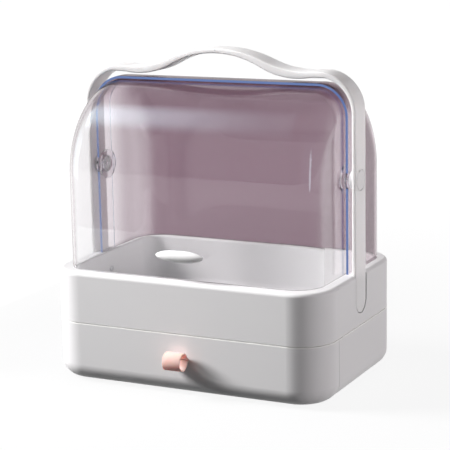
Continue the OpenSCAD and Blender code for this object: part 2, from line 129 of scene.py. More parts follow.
def mapped(tree, value, span, result=(0.0, 1.0), kind="LINEAR"):
    # the first number of result where value is at the start of span, the second where it is at its end
    return addNode(tree, "ShaderNodeMapRange", {
        "Value": value, "From Min": span[0], "From Max": span[1], "To Min": result[0], "To Max": result[1]},
        interpolation_type=kind).outputs[0]


def mixNumbers(tree, factor, first, second):
    return addNode(tree, "ShaderNodeMix", {0: factor, 2: first, 3: second}).outputs[0]


def mixColours(tree, factor, first, second):
    # each of the two is a colour or another node's output
    mix = addNode(tree, "ShaderNodeMix", {0: factor}, data_type="RGBA")
    for slot, colour in ((6, first), (7, second)):
        if isinstance(colour, tuple):
            mix.inputs[slot].default_value = colour
        else:
            tree.links.new(colour, mix.inputs[slot])
    return mix.outputs[2]


def splitUp(tree, vector):
    return addNode(tree, "ShaderNodeSeparateXYZ", {0: vector}).outputs


def objectPlace(tree):
    return addNode(tree, "ShaderNodeTexCoord").outputs["Object"]


def addBump(tree, body, height, strength, depth):
    bump = addNode(tree, "ShaderNodeBump", {"Height": height}, Strength=strength, Distance=depth * mm)
    tree.links.new(bump.outputs[0], body.inputs["Normal"])


def raysInPicture(tree):
    # 1 for rays that end in the picture: straight, in a reflection or through clear plastic
    paths = addNode(tree, "ShaderNodeLightPath").outputs
    seen = math2(tree, "MAXIMUM", paths["Is Camera Ray"], paths["Is Glossy Ray"])
    seen = math2(tree, "MAXIMUM", seen, paths["Is Transmission Ray"])
    return math2(tree, "MULTIPLY", seen, math2(tree, "LESS_THAN", paths["Diffuse Depth"], 0.5))


def mirroredRays(tree):
    # a ray that goes through glass counts as glossy too, so it is taken out
    paths = addNode(tree, "ShaderNodeLightPath").outputs
    return math2(tree, "GREATER_THAN", paths["Is Glossy Ray"], paths["Is Transmission Ray"])


# Studio
studio = {
    "floor": {
        "half": 12,         # metres from its middle to its edge
        "colour": (0.06, 0.06, 0.061, 1),
        "roughness": 0.9,
        "gloss": 0.1,
        "glow": 0.90,       # beside the object, only for rays that end in the picture
        "glowSpan": (0.30, 1.2),    # over this distance it rises to 1
        "farBounce": 0.1,   # what the floor sends up from further off
    },
    "room": {
        "walls": 0.6,       # how bright walls and ceiling are in reflections
        "ceiling": 0.3,
        "ceilingSpan": (0.15, 0.75),    # how far up a ray points where walls turn into ceiling
        "frontShade": 0.2,  # share of the room's light that comes from straight ahead
        "frontSpan": (-0.45, -0.9),     # how far forward a ray points where that begins and is full
        "skyLight": 0.08,   # what falls on the object from all round
    },
    "aim": (0, 0.01, 0.15),
    "lamps": {              # degrees to the right of the front and above the table, metres, watts
        "key": {"turn": -69, "rise": 31, "away": 2.0, "size": (0.65, 0.9), "power": 101,
                "colour": (1, 0.99, 0.985)},
        "side": {"turn": 90, "rise": 9, "away": 2.5, "size": (1.0, 1.0), "power": 28,
                 "colour": (1, 0.955, 0.965)},
        "back": {"turn": 180, "rise": 4, "away": 2.5, "size": (1.2, 1.0), "power": 26,
                 "colour": (1, 0.99, 0.985)},
    },
    "scrim": {              # a net beside the object that halves the key lamp's light on its left side
        "x": -0.35, "front": -0.165, "back": 0.7, "top": 0.42, "passes": 0.53},
    "cardColour": (0.74, 0.90, 1, 1),
    "cards": {              # bright cards with soft edges that only show in reflections
        "above": {"turn": 0, "rise": 75, "away": 1.5, "along": -1.2, "size": (1.6, 1.2), "soft": 0.9,
                  "strength": 9},
        "left": {"turn": -75, "rise": 10, "away": 1.5, "size": (1.0, 1.6), "soft": 0.8, "strength": 2.4},
        "leftCore": {"turn": -62, "rise": 8, "away": 1.45, "size": (0.2, 1.4), "soft": 0.7, "strength": 5},
        "right": {"turn": 74, "rise": 8, "away": 1.6, "size": (0.26, 1.4), "soft": 0.7, "strength": 6},
    },
}


def makeLamp(name, settings, aim):
    direction = towards(settings)
    data = bpy.data.lights.new(name, "AREA")
    data.shape = "RECTANGLE"
    data.size, data.size_y = settings["size"]
    data.energy = settings["power"]
    data.color = settings["colour"]
    lamp = bpy.data.objects.new(name, data)
    bpy.context.collection.objects.link(lamp)
    lamp.location = Vector(aim) + direction * settings["away"]
    lamp.rotation_euler = (-direction).to_track_quat("-Z", "Y").to_euler()
    lamp.visible_glossy = lamp.visible_transmission = False


def makeSheet(name, halfWide, halfHigh):
    mesh = bpy.data.meshes.new(name)
    mesh.from_pydata([(-halfWide, -halfHigh, 0), (halfWide, -halfHigh, 0), (halfWide, halfHigh, 0),
                      (-halfWide, halfHigh, 0)], [], [(0, 1, 2, 3)])
    sheet = bpy.data.objects.new(name, mesh)
    bpy.context.collection.objects.link(sheet)
    paint = bpy.data.materials.new(name + "Paint")
    paint.use_nodes = True
    mesh.materials.append(paint)
    return sheet, paint.node_tree


def makeCard(name, settings, aim, colour):
    direction = towards(settings)
    halves = [length / 2 for length in settings["size"]]
    card, tree = makeSheet(name, *halves)
    sideways = Vector((0, 0, 1)).cross(direction).normalized()
    card.location = Vector(aim) + direction * settings["away"] + sideways * settings.get("along", 0)
    card.rotation_euler = (-direction).to_track_quat("-Z", "Y").to_euler()
    card.visible_camera = card.visible_diffuse = card.visible_transmission = card.visible_shadow = False
    level = settings["strength"]
    for across, half in zip(splitUp(tree, objectPlace(tree)), halves):
        fade = mapped(tree, math2(tree, "ABSOLUTE", across, 0), (half, half * (1 - settings["soft"])),
                      kind="SMOOTHSTEP")
        level = math2(tree, "MULTIPLY", fade, level)
    light = addNode(tree, "ShaderNodeEmission", {"Strength": level}, Color=colour)
    clear = addNode(tree, "ShaderNodeBsdfTransparent")
    both = addNode(tree, "ShaderNodeAddShader", {0: light.outputs[0], 1: clear.outputs[0]})
    tree.links.new(both.outputs[0], tree.nodes["Material Output"].inputs["Surface"])


def makeScrim(settings):
    deep, high = settings["back"] - settings["front"], settings["top"]
    scrim, tree = makeSheet("scrim", high / 2, deep / 2)
    scrim.location = (settings["x"], settings["front"] + deep / 2, high / 2)
    scrim.rotation_euler = (0, math.pi / 2, 0)
    scrim.visible_camera = scrim.visible_diffuse = scrim.visible_glossy = scrim.visible_transmission = False
    net = addNode(tree, "ShaderNodeBsdfTransparent", Color=(settings["passes"],) * 3 + (1,))
    tree.links.new(net.outputs[0], tree.nodes["Material Output"].inputs["Surface"])


def makeWorld(settings):
    world = bpy.data.worlds.new("studio")
    bpy.context.scene.world = world
    world.use_nodes = True
    tree = world.node_tree
    background = tree.nodes["Background"]
    background.inputs["Color"].default_value = (1, 1, 1, 1)
    # only reflections show that the walls, and more so the ceiling, are darker
    direction = splitUp(tree, addNode(tree, "ShaderNodeTexCoord").outputs["Generated"])
    room = mapped(tree, direction["Z"], settings["ceilingSpan"], (settings["walls"], settings["ceiling"]),
                  "SMOOTHSTEP")
    mirrored = mirroredRays(tree)
    dim = mixNumbers(tree, mirrored, settings["skyLight"], room)
    shade = mapped(tree, direction["Y"], settings["frontSpan"], (1.0, settings["frontShade"]), "SMOOTHSTEP")
    dim = math2(tree, "MULTIPLY", dim, shade)
    plain = math2(tree, "SUBTRACT", raysInPicture(tree), mirrored)
    tree.links.new(mixNumbers(tree, plain, dim, 1.0), background.inputs["Strength"])


def makeFloor(settings):
    tree = makeSheet("floor", settings["half"], settings["half"])[1]
    body = tree.nodes["Principled BSDF"]
    setInputs(body, {"Base Color": settings["colour"], "Roughness": settings["roughness"],
                     "Specular IOR Level": settings["gloss"], "Emission Color": (1, 1, 1, 1)})
    away = addNode(tree, "ShaderNodeVectorMath", {0: objectPlace(tree)}, operation="LENGTH").outputs["Value"]
    seen = mapped(tree, away, settings["glowSpan"], (settings["glow"], 1.0))
    bounced = mapped(tree, away, settings["glowSpan"], (0.0, settings["farBounce"]))
    tree.links.new(mixNumbers(tree, raysInPicture(tree), bounced, seen), body.inputs["Emission Strength"])


def makeStudio(settings):
    makeWorld(settings["room"])
    makeFloor(settings["floor"])
    makeScrim(settings["scrim"])
    for name, lamp in settings["lamps"].items():
        makeLamp(name, lamp, settings["aim"])
    for name, card in settings["cards"].items():
        makeCard(name, card, settings["aim"], settings["cardColour"])
    print("studio ready:", len(settings["lamps"]), "lamps and", len(settings["cards"]), "cards")


makeStudio(studio)


# Effects that several materials share
def newGroup(name, inputs, outputs):
    group = bpy.data.node_groups.new(name, "ShaderNodeTree")
    for label, value in inputs:
        group.interface.new_socket(label, in_out="INPUT", socket_type="NodeSocketFloat").default_value = value
    for label in outputs:
        group.interface.new_socket(label, in_out="OUTPUT", socket_type="NodeSocketFloat")
    return group, group.nodes.new("NodeGroupInput").outputs, group.nodes.new("NodeGroupOutput").inputs


def makeMouldSkin(settings):
    # the fine texture that an eroded mould leaves, and the slow unevenness of the plastic under it
    group, given, result = newGroup("mouldSkin", [
        ("Grain Scale", 1600), ("Uneven Scale", 30), ("Roughness", 0.35), ("Roughness Spread", 0.08)],
        ["Roughness", "Height", "Shade"])
    place = objectPlace(group)
    grain = addNode(group, "ShaderNodeTexNoise", {"Vector": place, "Scale": given["Grain Scale"]},
                    Detail=2.0, Roughness=0.6).outputs["Fac"]
    slow = addNode(group, "ShaderNodeTexNoise", {"Vector": place, "Scale": given["Uneven Scale"]},
                   Detail=3.0, Roughness=0.5).outputs["Fac"]
    both = math2(group, "ADD", math2(group, "MULTIPLY", grain, settings["grainShare"]),
                 math2(group, "MULTIPLY", slow, 1 - settings["grainShare"]))
    low = math2(group, "SUBTRACT", given["Roughness"], given["Roughness Spread"])
    high = math2(group, "ADD", given["Roughness"], given["Roughness Spread"])
    group.links.new(mapped(group, both, settings["noiseSpan"], (low, high)), result["Roughness"])
    group.links.new(grain, result["Height"])
    group.links.new(slow, result["Shade"])
    return group


def makeHandling(settings):
    # faint smears and settled dust: a mask that is strongest on faces that look up
    group, given, result = newGroup("handling", [("Smear Scale", 45), ("Dust Scale", 900), ("Dust", 0.3)],
                                    ["Smear", "Dust"])
    place = objectPlace(group)
    stretched = addNode(group, "ShaderNodeMapping", {"Vector": place}, Scale=settings["stretch"])
    smear = addNode(group, "ShaderNodeTexNoise", {
        "Vector": stretched.outputs[0], "Scale": given["Smear Scale"]},
        Detail=4.0, Roughness=0.62, Distortion=0.6).outputs["Fac"]
    speck = addNode(group, "ShaderNodeTexVoronoi",
                    {"Vector": place, "Scale": given["Dust Scale"]}).outputs["Distance"]
    upward = splitUp(group, addNode(group, "ShaderNodeNewGeometry").outputs["Normal"])["Z"]
    dust = math2(group, "MULTIPLY", mapped(group, speck, settings["speckSpan"]),
                 mapped(group, upward, settings["upwardSpan"]))
    group.links.new(mapped(group, smear, settings["smearSpan"]), result["Smear"])
    group.links.new(math2(group, "MULTIPLY", dust, given["Dust"]), result["Dust"])
    return group


# spans give where a noise, a speck or a slope begins to count, and where it counts in full
mouldSkin = makeMouldSkin({"grainShare": 0.35, "noiseSpan": (0.35, 0.65)})
handling = makeHandling({"stretch": (1, 1, 0.35), "smearSpan": (0.5, 0.72), "speckSpan": (0.13, 0.05),
                         "upwardSpan": (0.2, 0.9)})
plasticIor = 1.5
mouldDepth = 0.04           # of the mould's grain, in millimetres
# the dust colour is real dust; the second colour is a painted highlight along the seam
dustAndSeamHighlight = {"dustColour": (0.62, 0.60, 0.60, 1), "seamHighlightColour": (0.97, 0.965, 0.955, 1)}


# Finishes
def newMaterial(name):
    material = bpy.data.materials.new(name)
    material.use_nodes = True
    tree = material.node_tree
    return material, tree, tree.nodes["Principled BSDF"]


def useGroup(tree, group, values):
    node = addNode(tree, "ShaderNodeGroup", node_tree=group)
    setInputs(node, values)
    return node.outputs


def useSkin(tree, settings):
    return useGroup(tree, mouldSkin, {"Grain Scale": settings["grainScale"],
                                      "Roughness": settings["roughness"],
                                      "Roughness Spread": settings["spread"]})


def letLightIn(body, settings):
    # a thin part lets some light through; radius for red, green and blue, and depth in millimetres
    setInputs(body, {"Subsurface Weight": settings["glowThrough"],
                     "Subsurface Radius": settings["glowRadius"],
                     "Subsurface Scale": settings["glowDepth"] * mm})


def makeWhitePlastic(name, settings):
    material, tree, body = newMaterial(name)
    skin = useSkin(tree, settings)
    marks = useGroup(tree, handling, {"Dust": settings["dust"]})
    tone = mixColours(tree, skin["Shade"], settings["colour"], settings["otherColour"])
    if "seamHighlightReach" in settings:   # painted highlight: lighter along the seam between tray and drawer, standing in for the light that the edge there catches
        fromSeam = distance(tree, splitUp(tree, objectPlace(tree))["Z"], parting)
        seamHighlightMask = mapped(tree, fromSeam, (settings["seamHighlightReach"] * mm, settings["seamHighlightReach"] * mm / 2))
        tone = mixColours(tree, seamHighlightMask, tone, dustAndSeamHighlight["seamHighlightColour"])
    tree.links.new(mixColours(tree, marks["Dust"], tone, dustAndSeamHighlight["dustColour"]), body.inputs["Base Color"])
    smeared = math2(tree, "MULTIPLY", marks["Smear"], settings["smear"])
    rough = math2(tree, "ADD", skin["Roughness"], smeared)
    tree.links.new(rough, body.inputs["Roughness"])
    addBump(tree, body, skin["Height"], settings["grain"], mouldDepth)
    setInputs(body, {"IOR": plasticIor, "Specular IOR Level": settings["gloss"]})
    if "glowThrough" in settings:
        letLightIn(body, settings)
    return material


# case and inside carry a painted highlight along the seam, fading out 1.6 millimetres from it
whiteFinish = {
    "case": {"colour": (0.83, 0.82, 0.835, 1), "otherColour": (0.85, 0.845, 0.85, 1), "roughness": 0.36,
             "spread": 0.05, "grainScale": 1500, "grain": 0.35, "smear": 0.05, "dust": 0.25, "gloss": 0.3,
             "seamHighlightReach": 1.6},
    "plug": {"colour": (0.87, 0.855, 0.86, 1), "otherColour": (0.88, 0.87, 0.875, 1), "roughness": 0.30,
             "spread": 0.02, "grainScale": 1900, "grain": 0.2, "smear": 0.02, "dust": 0.15, "gloss": 0.5},
    "knob": {"colour": (0.90, 0.90, 0.91, 1), "otherColour": (0.92, 0.92, 0.925, 1), "roughness": 0.16,
             "spread": 0.03, "grainScale": 2200, "grain": 0.05, "smear": 0.05, "dust": 0.05, "gloss": 0.5},
    "inside": {"colour": (0.80, 0.80, 0.81, 1), "otherColour": (0.83, 0.825, 0.83, 1), "roughness": 0.5,
               "spread": 0.05, "grainScale": 1200, "grain": 0.5, "smear": 0.03, "dust": 0.4, "gloss": 0.3,
               "seamHighlightReach": 1.6},
}
# the band is the plugs' plastic, and thin enough to let light through
whiteFinish["band"] = {
    **whiteFinish["plug"], "glowThrough": 0.5, "glowRadius": (1, 0.96, 0.94), "glowDepth": 6}
caseWhite = makeWhitePlastic("caseWhite", whiteFinish["case"])
bandWhite = makeWhitePlastic("bandWhite", whiteFinish["band"])
plugWhite = makeWhitePlastic("plugWhite", whiteFinish["plug"])
knobWhite = makeWhitePlastic("knobWhite", whiteFinish["knob"])
insideWhite = makeWhitePlastic("insideWhite", whiteFinish["inside"])


def tintWithPaintedShade(tree, place, settings):
    # painted shade: the faint tint is mixed with a deep one towards the back and the top, and less near the
    # sides, standing in for the darker room seen in and through the curved walls
    spans = [mapped(tree, place[axis], [edge * mm for edge in span], kind="SMOOTHSTEP")
             for axis, span in settings["paintedShadeSpans"].items()]
    share = spans[0] if len(spans) == 1 else math2(tree, "MAXIMUM", *spans)
    sides = mapped(tree, math2(tree, "ABSOLUTE", place["X"], 0), [edge * mm for edge in settings["sides"]],
                   (1.0, clearWall["sideShare"]), "SMOOTHSTEP")
    return mixColours(tree, math2(tree, "MULTIPLY", share, sides), settings["pale"], settings["deep"])


def makeClearPlastic(name, settings):
    material, tree, body = newMaterial(name)
    setInputs(body, {"Transmission Weight": 1, "IOR": plasticIor})
    marks = useGroup(tree, handling, {"Smear Scale": clearWall["smearScale"], "Dust": 0})
    smeared = math2(tree, "MULTIPLY", marks["Smear"], settings["smear"])
    rough = math2(tree, "ADD", smeared, settings["roughness"])
    tree.links.new(rough, body.inputs["Roughness"])
    waves = addNode(tree, "ShaderNodeTexNoise", {"Vector": objectPlace(tree)}, Scale=settings["waveScale"],
                    Detail=1.0)
    addBump(tree, body, waves.outputs["Fac"], settings["waves"], clearWall["waveDepth"])
    place = splitUp(tree, objectPlace(tree))
    # painted shade: the tint darkens towards the back and the top of the cover
    tint = tintWithPaintedShade(tree, place, settings) if "paintedShadeSpans" in settings else settings["pale"]
    # seen edge on, the wall turns darker: partly the longer way light comes through the wall, partly painted
    # shade that darkens the outline
    facing = addNode(tree, "ShaderNodeLayerWeight", Blend=0.5).outputs["Facing"]
    edgeOn = mapped(tree, facing, clearWall["edgeOnSpan"], (0.0, settings["edgeOn"]))
    tree.links.new(mixColours(tree, edgeOn, tint, settings["edgeOnColour"]), body.inputs["Base Color"])
    if "edge" in settings:  # painted glow: the moulded edge shines by its own light, standing in for the light it gathers from the whole wall
        fromEdge = distance(tree, place["Y"], settings["edge"] * mm + middle)
        edge = mapped(tree, fromEdge, [far * mm for far in clearWall["edgeSpan"]], (1.0, 0.0))
        glow = mixColours(tree, edge, (0, 0, 0, 1), settings["edgeGlow"])
        tree.links.new(glow, body.inputs["Emission Color"])
        body.inputs["Emission Strength"].default_value = 1
    # lamps shine through the wall, so that the tray behind it is lit
    shadow = addNode(tree, "ShaderNodeLightPath").outputs["Is Shadow Ray"]
    through = addNode(tree, "ShaderNodeBsdfTransparent", Color=settings["shadowColour"])
    mixed = addNode(tree, "ShaderNodeMixShader", {0: shadow, 1: body.outputs[0], 2: through.outputs[0]})
    tree.links.new(mixed.outputs[0], tree.nodes["Material Output"].inputs["Surface"])
    return material


clearWall = {               # millimetres where they are lengths
    "smearScale": 28,
    "waveDepth": 0.6,
    "sideShare": 0.55,      # share of the painted shade that is left beyond "sides"
    "edgeOnSpan": (0.55, 0.9),
    "edgeSpan": (0.03, 0.15),   # how far from the edge its light begins to fade, and is gone
}
clearFinish = {             # the spans give where the painted shade in the tint begins and where it is full, in millimetres
    "rear": {"pale": (0.92, 0.87, 0.90, 1), "deep": (0.23, 0.135, 0.18, 1),
             "paintedShadeSpans": {"Y": (10, 60), "Z": (258, 290)}, "sides": (118, 138),
             "edge": -10, "edgeGlow": (0.10, 0.17, 0.40, 1), "roughness": 0.02, "smear": 0.03,
             "waveScale": 18, "waves": 0.25, "shadowColour": (0.975, 0.965, 0.97, 1),
             "edgeOn": 0.35, "edgeOnColour": (0.36, 0.22, 0.22, 1)},
    "front": {"pale": (0.97, 0.965, 0.97, 1), "deep": (0.80, 0.72, 0.77, 1),
              "paintedShadeSpans": {"Z": (250, 290)}, "sides": (100, 130),
              "edge": 12, "edgeGlow": (0.10, 0.12, 0.16, 1), "roughness": 0.02, "smear": 0.03,
              "waveScale": 18, "waves": 0.25, "shadowColour": (0.975, 0.975, 0.975, 1),
              "edgeOn": 1.0, "edgeOnColour": (0.30, 0.20, 0.23, 1)},
    "pin": {"pale": (0.93, 0.92, 0.94, 1), "roughness": 0.06, "smear": 0.02, "waveScale": 90, "waves": 0.2,
            "shadowColour": (0.95, 0.95, 0.95, 1), "edgeOn": 0.3, "edgeOnColour": (0.5, 0.5, 0.55, 1)},
}
clearRear = makeClearPlastic("clearRear", clearFinish["rear"])
clearFront = makeClearPlastic("clearFront", clearFinish["front"])
clearPin = makeClearPlastic("clearPin", clearFinish["pin"])


def makeStrapCloth(settings):
    # a coated strap: fine grain, two close tones and darker pores
    material, tree, body = newMaterial("pinkStrap")
    place = objectPlace(tree)
    cells = addNode(tree, "ShaderNodeTexVoronoi", {"Vector": place},
                    Scale=settings["grainScale"]).outputs["Distance"]
    cloud = addNode(tree, "ShaderNodeTexNoise", {"Vector": place}, Scale=settings["cloudScale"],
                    Detail=3.0).outputs["Fac"]
    tone = mixColours(tree, cloud, settings["colour"], settings["otherColour"])
    pores = mapped(tree, cells, settings["poreSpan"], (settings["pore"], 0.0))
    tree.links.new(mixColours(tree, pores, tone, settings["poreColour"]), body.inputs["Base Color"])
    tree.links.new(mapped(tree, cloud, (0.0, 1.0), settings["roughness"]), body.inputs["Roughness"])
    addBump(tree, body, cells, settings["grain"], settings["grainDepth"])
    body.inputs["Sheen Weight"].default_value = settings["sheen"]
    letLightIn(body, settings)
    return material


strapPink = makeStrapCloth({
    "colour": (0.86, 0.58, 0.53, 1), "otherColour": (0.88, 0.62, 0.57, 1), "cloudScale": 160.0,
    "pore": 0.25, "poreColour": (0.70, 0.42, 0.36, 1), "poreSpan": (0.0, 0.5), "grainScale": 2200.0,
    "grain": 0.35, "grainDepth": 0.08, "roughness": (0.48, 0.66), "sheen": 0.15,
    "glowThrough": 0.6, "glowRadius": (1, 0.35, 0.25), "glowDepth": 4})


def makeZincSteel(settings):
    material, tree, body = newMaterial("zincSteel")
    place = objectPlace(tree)
    crystals = addNode(tree, "ShaderNodeTexVoronoi", {"Vector": place}, Scale=settings["crystalScale"])
    cloud = addNode(tree, "ShaderNodeTexNoise", {"Vector": place}, Scale=settings["cloudScale"], Detail=3.0)
    tone = mixColours(tree, cloud.outputs["Fac"], settings["colour"], settings["otherColour"])
    tree.links.new(tone, body.inputs["Base Color"])
    rough = mapped(tree, crystals.outputs["Distance"], (0.0, 1.0), settings["roughness"])
    tree.links.new(rough, body.inputs["Roughness"])
    body.inputs["Metallic"].default_value = 1
    return material


zincSteel = makeZincSteel({"colour": (0.60, 0.61, 0.62, 1), "otherColour": (0.72, 0.72, 0.74, 1),
                           "crystalScale": 1400.0, "cloudScale": 350.0, "roughness": (0.25, 0.42)})


def makeSoftRubber(settings):
    material, tree, body = newMaterial("softRubber")
    skin = useSkin(tree, settings)
    tone = mixColours(tree, skin["Shade"], settings["colour"], settings["otherColour"])
    tree.links.new(tone, body.inputs["Base Color"])
    tree.links.new(skin["Roughness"], body.inputs["Roughness"])
    addBump(tree, body, skin["Height"], settings["grain"], settings["grainDepth"])
    return material


softRubber = makeSoftRubber({"colour": (0.55, 0.55, 0.56, 1), "otherColour": (0.62, 0.62, 0.63, 1),
                             "grainScale": 2500, "roughness": 0.62, "spread": 0.08, "grain": 0.5,
                             "grainDepth": 0.05})
print("finishes ready:", len(bpy.data.materials))


def dress(material, *names):
    for name in names:
        for place in nodes[name].material_slots:
            place.material = material


dress(caseWhite, "top_tray", "base_shell", "drawer_front")
dress(insideWhite, "drawer_box", "ribbon_anchor")
dress(plugWhite, "pivot_plug_left", "pivot_plug_right")
dress(clearRear, "rear_cover")
dress(clearFront, "front_cover")
dress(clearPin, "pivot_pin_left", "pivot_pin_right")


# Mesh helpers
sameSpot = 1e-7             # metres, points closer than this become one


def finishMesh(name, bm, material):
    bmesh.ops.remove_doubles(bm, verts=bm.verts, dist=sameSpot)
    bmesh.ops.recalc_face_normals(bm, faces=bm.faces)
    for face in bm.faces:
        face.smooth = True
    mesh = bpy.data.meshes.new(name)
    bm.to_mesh(mesh)
    bm.free()
    mesh.materials.append(material)
    piece = bpy.data.objects.new(name, mesh)
    bpy.context.collection.objects.link(piece)
    return piece


def addRings(bm, rings):
    # joins rings of equally many points, and closes both ends
    made = [[bm.verts.new(point) for point in ring] for ring in rings]
    for first, second in zip(made, made[1:]):
        for i in range(len(first)):
            j = (i + 1) % len(first)
            bm.faces.new((first[i], first[j], second[j], second[i]))
    bm.faces.new(made[0])
    bm.faces.new(made[-1])


def lathe(bm, profile, sides, placed=Matrix()):
    # turns (radius, height) points about Z; a radius of 0 at an end closes it in a pole
    rings = []
    for radius, height in profile:
        around = [2 * math.pi * k / sides for k in range(sides)] if radius > 0 else [0]
        points = [(radius * math.cos(t) * mm, radius * math.sin(t) * mm, height * mm) for t in around]
        rings.append([bm.verts.new(placed @ Vector(point)) for point in points])
    for first, second in zip(rings, rings[1:]):
        for i in range(sides):
            j = (i + 1) % sides
            corners = [first[i % len(first)], first[j % len(first)],
                       second[j % len(second)], second[i % len(second)]]
            unique = [v for k, v in enumerate(corners) if v not in corners[:k]]
            if len(unique) > 2:
                bm.faces.new(unique)


def alongAxis(axis, place):
    # stands what is turned about Z at a place, and turns it a quarter about X or Y
    return Matrix.Translation(place) @ Matrix.Rotation(math.pi / 2, 4, axis)


def combine(piece, bm, operation):
    # unites the piece with the solids in bm, or cuts them out of it
    tool = finishMesh("tool", bm, piece.data.materials[0])
    step = piece.modifiers.new("combine", "BOOLEAN")
    step.operation = operation
    step.solver = "EXACT"
    step.object = tool
    step.use_self = True
    applyModifiers(piece)
    bpy.data.objects.remove(tool)


def keepSharp(piece, degrees=35):
    # smooth faces, with creases kept where the surface turns sharply
    piece.data.set_sharp_from_angle(angle=math.radians(degrees))


def applyModifiers(piece):
    graph = bpy.context.evaluated_depsgraph_get()
    mesh = bpy.data.meshes.new_from_object(piece.evaluated_get(graph))
    old = piece.data
    piece.modifiers.clear()
    piece.data = mesh
    bpy.data.meshes.remove(old)


# Handle, in millimetres
handleLow, handleHigh = boxInMm("handle")
postThick = 4.2
shoulder = 38               # outer radius of the bend from the arch into a post
handle = {
    # of its upper and lower face: height and radius of the crown, place and height of the dips
    "top": {"top": handleHigh[2], "crown": 130, "dipAt": 93, "low": 301.4,
            "bend": shoulder, "post": handleHigh[0]},
    "under": {"top": 316, "crown": 100, "dipAt": 85, "low": 294.4,
              "bend": shoulder - postThick, "post": handleHigh[0] - postThick},
    "width": handleHigh[1] - handleLow[1],
    "edge": 1.3,            # rounding of the band's edges
    "edgeLimits": (0.45, 0.6),      # its most, as shares of the thickness and of half the width
    "edgeSteps": 4,
    "faceSteps": 8,
    "crowning": 0.25,       # how much the outer face swells towards its middle
    "tipAt": 72,            # lowest point of the posts
    "tipTurn": 89,          # degrees that the round tip is followed down
    "steps": {"crown": 26, "dip": 24, "bend": 22, "post": 60},
    # radius and distance from the middle, from the outer face inwards: plug, screw head, shank
    "pocket": [(10.2, 146), (10.2, 143.55), (3.3, 143.55), (3.3, 141.7), (1.7, 141.7), (1.7, 136)],
    "sides": {"pocket": 64, "boss": 48, "pip": 20},
    "bosses": [(9.0, 200), (3.6, 81), (3.6, 91)],       # radius and height above the table
    "bossEnds": {9.0: 136.4, 3.6: 131.5},
    "bossEdge": 0.4,
    "bossSunk": 0.6,        # how deep they reach into the post
    "pips": [(0, 319.4), (142.5, 172), (-142.5, 172)],  # marks of the mould on the band's front edge
    "pipRadius": 1.1,
    "pipHeight": 0.4,
    "pipSunk": 1,
    "pipTop": 0.6,          # share of its radius and of its height where its edge is
}


def archPath(outline, steps):
    # the same arcs as the CAD handle, from the middle out to the post's tip
    rise = outline["top"] - outline["low"]
    span = (outline["dipAt"] ** 2 + rise ** 2) / (2 * rise)
    dipRadius = span - outline["crown"]
    crownZ, dipZ = outline["top"] - outline["crown"], outline["low"] + dipRadius
    bendX = outline["post"] - outline["bend"]
    bendZ = dipZ - math.sqrt((dipRadius + outline["bend"]) ** 2 - (bendX - outline["dipAt"]) ** 2)
    first = math.atan2(outline["dipAt"], dipZ - crownZ)
    second = math.atan2(bendX - outline["dipAt"], dipZ - bendZ)
    points = []
    for i in range(steps["crown"]):
        angle = first * i / steps["crown"]
        points.append((outline["crown"] * math.sin(angle), crownZ + outline["crown"] * math.cos(angle)))
    for i in range(steps["dip"]):
        angle = -first + (first + second) * i / steps["dip"]
        points.append((outline["dipAt"] + dipRadius * math.sin(angle), dipZ - dipRadius * math.cos(angle)))
    for i in range(steps["bend"]):
        angle = second + (math.pi / 2 - second) * i / steps["bend"]
        points.append((bendX + outline["bend"] * math.sin(angle), bendZ + outline["bend"] * math.cos(angle)))
    return points, bendZ


def bandRing(outer, inner, halfWidth, settings):
    # one cross-section: round-edged, with a gently crowned outer face
    across = Vector((outer[0] - inner[0], 0, outer[1] - inner[1]))
    thick = across.length
    across.normalize()
    middlePoint = Vector(((outer[0] + inner[0]) / 2, 0, (outer[1] + inner[1]) / 2))
    thickShare, widthShare = settings["edgeLimits"]
    edge = min(settings["edge"], thick * thickShare, halfWidth * widthShare)
    edgeSteps, faceSteps = settings["edgeSteps"], settings["faceSteps"]
    corners = []
    for sideY, sideT, start in ((1, 1, 0), (-1, 1, 90), (-1, -1, 180), (1, -1, 270)):
        for k in range(edgeSteps + 1):
            angle = math.radians(start + 90 * k / edgeSteps)
            corners.append((sideY * (halfWidth - edge) + edge * math.cos(angle),
                            sideT * (thick / 2 - edge) + edge * math.sin(angle)))
        if (sideY, sideT) == (1, 1):
            for k in range(1, faceSteps):
                corners.append(((halfWidth - edge) * (1 - 2 * k / faceSteps), thick / 2))
    ring = []
    for y, t in corners:
        if t > 0:
            t -= settings["crowning"] * (y / (settings["width"] / 2)) ** 2
        point = middlePoint + across * t
        ring.append((point.x * mm, y * mm + middle, point.z * mm))
    return ring


def makeHandle(settings):
    steps = settings["steps"]
    outer, outerZ = archPath(settings["top"], steps)
    inner, innerZ = archPath(settings["under"], steps)
    tipRadius = settings["width"] / 2
    widths = [tipRadius] * len(outer)
    tipZ = settings["tipAt"] + tipRadius
    for i in range(steps["post"] + 1):
        share = i / steps["post"]
        if share < 0.5:     # straight part of the post
            zOuter = outerZ + (tipZ - outerZ) * share * 2
            zInner = innerZ + (tipZ - innerZ) * share * 2
            width = tipRadius
        else:               # round tip
            angle = (share - 0.5) * 2 * math.radians(settings["tipTurn"])
            zOuter = zInner = tipZ - tipRadius * math.sin(angle)
            width = tipRadius * math.cos(angle)
        outer.append((settings["top"]["post"], zOuter))
        inner.append((settings["under"]["post"], zInner))
        widths.append(width)
    rings = [bandRing(o, i, w, settings) for o, i, w in zip(outer, inner, widths)]
    mirrored = [[(-x, y, z) for x, y, z in ring] for ring in reversed(rings[1:])]
    bm = bmesh.new()
    addRings(bm, mirrored + rings)
    band = finishMesh("arched_handle", bm, bandWhite)
    bm = bmesh.new()
    addSideParts(bm, settings)
    combine(band, bm, "UNION")
    bm = bmesh.new()
    for side in (-1, 1):
        turned = [(radius, side * x) for radius, x in settings["pocket"]]
        lathe(bm, [(0, turned[0][1])] + turned + [(0, turned[-1][1])], settings["sides"]["pocket"],
              alongAxis("Y", (0, middle, hubHeight)))
    combine(band, bm, "DIFFERENCE")
    return band


